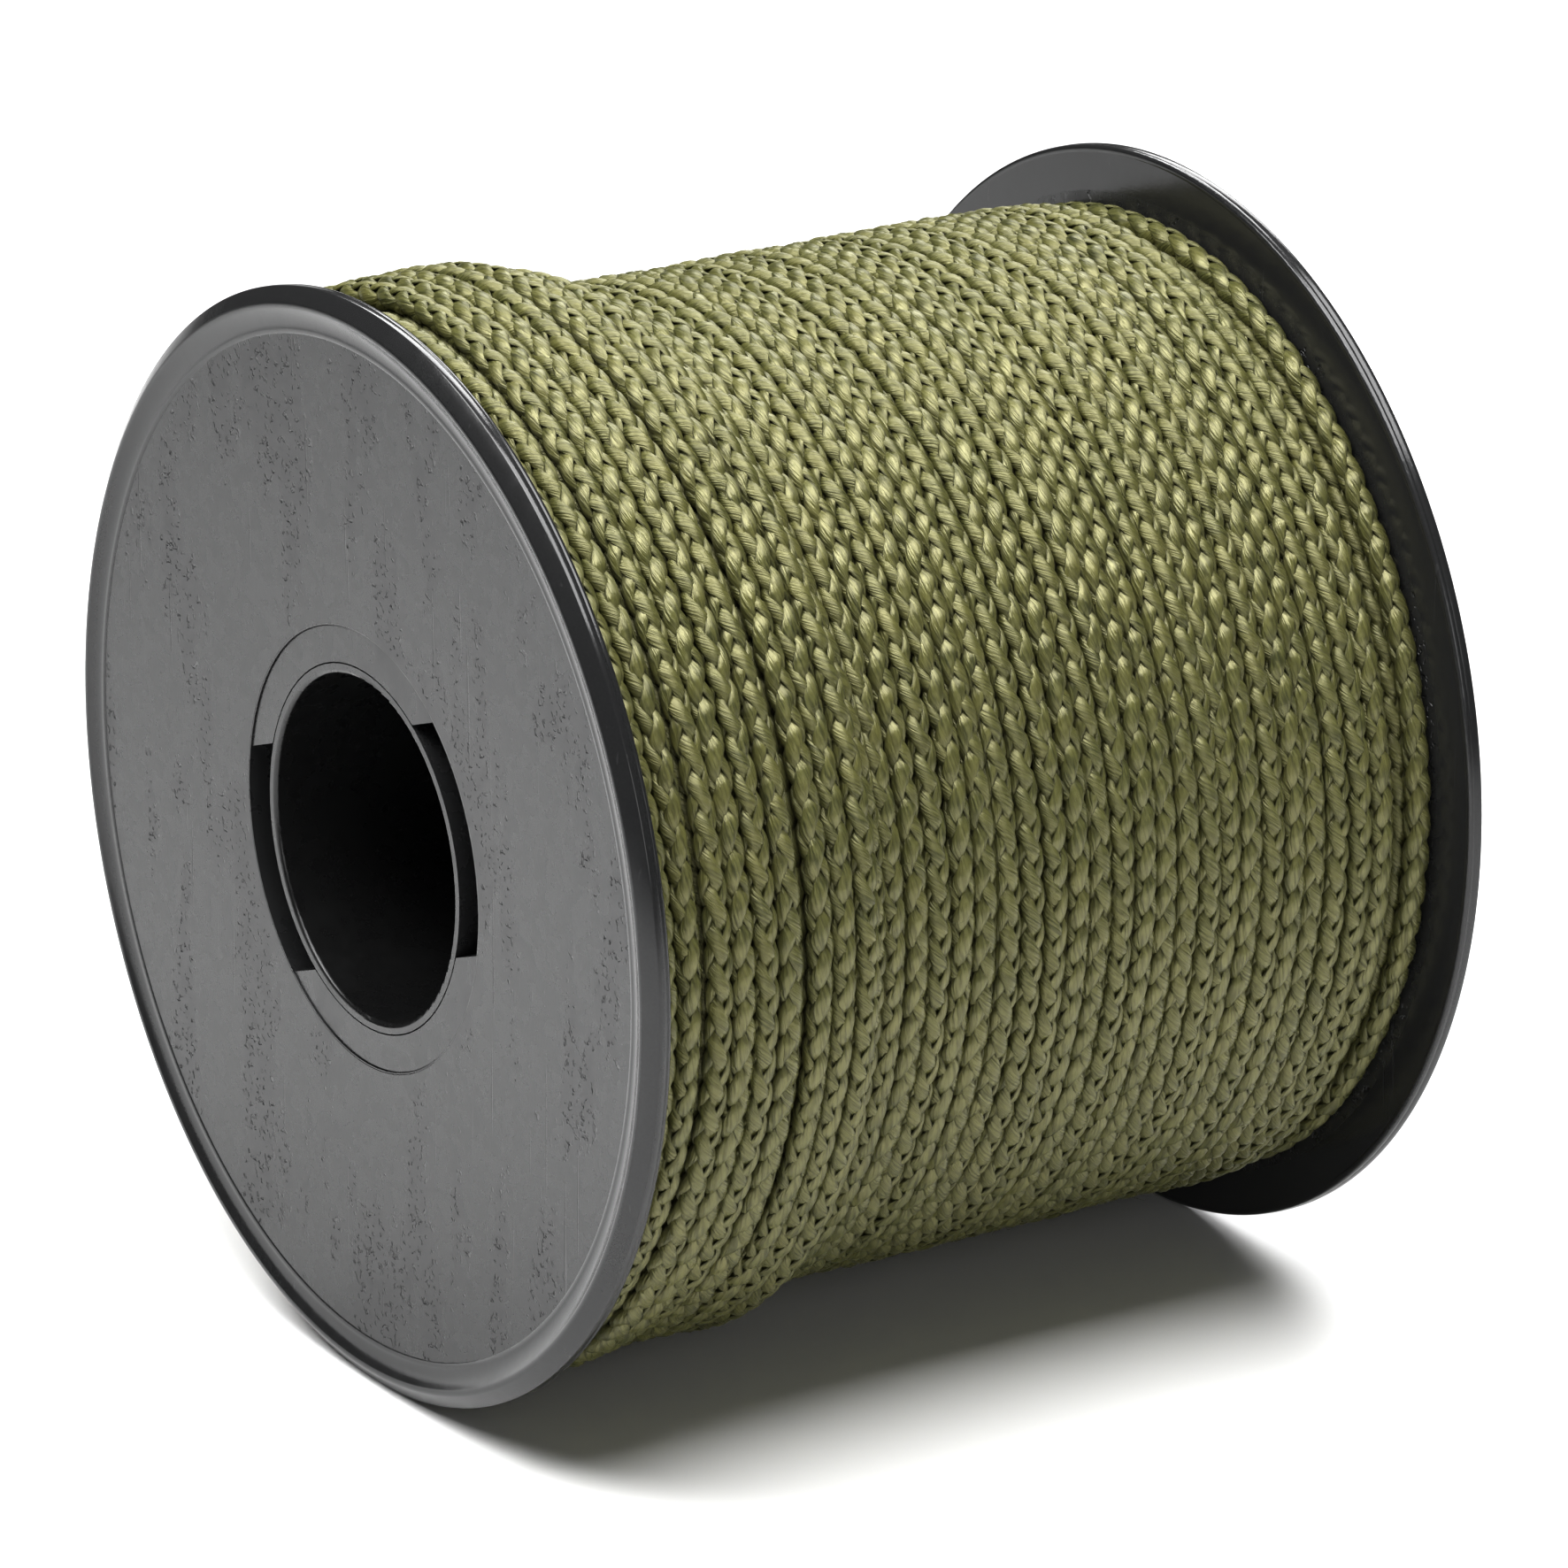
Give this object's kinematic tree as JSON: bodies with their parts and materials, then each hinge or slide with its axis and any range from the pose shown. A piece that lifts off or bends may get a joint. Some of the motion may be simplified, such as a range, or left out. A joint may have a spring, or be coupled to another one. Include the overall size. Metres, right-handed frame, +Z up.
{
  "type": "fishing line spool",
  "caption": "Two-part plastic spool with round flanges and a through bore, wound in layers with thin braided cord.",
  "frame": {"origin": "centre of the bore at mid-width", "axes": "+Z up as the spool lies on its side, spool axis along Y, the flange with the latch windows towards -Y"},
  "size_m": [0.08, 0.0694, 0.08],
  "materials": {
    "black_plastic": "satin moulded, faint scratches and mould texture",
    "olive_cord": "braided synthetic fibre with a soft sheen"
  },
  "bodies": {
    "drum": {"drum_half": "black_plastic", "cord_layer_01": "olive_cord", "cord_layer_02": "olive_cord", "cord_layer_03": "olive_cord", "cord_layer_04": "olive_cord", "cord_layer_05": "olive_cord", "cord_layer_06": "olive_cord", "cord_layer_07": "olive_cord", "cord_layer_08": "olive_cord", "cord_layer_09": "olive_cord", "cord_layer_10": "olive_cord", "cord_top_turns": "olive_cord"},
    "core": {"core_half": "black_plastic"}
  },
  "joints": [
    {"name": "core_pull", "type": "slide", "parent": "drum", "child": "core", "axis": [0, 1, 0], "range_m": [0, 0.08]}
  ]
}
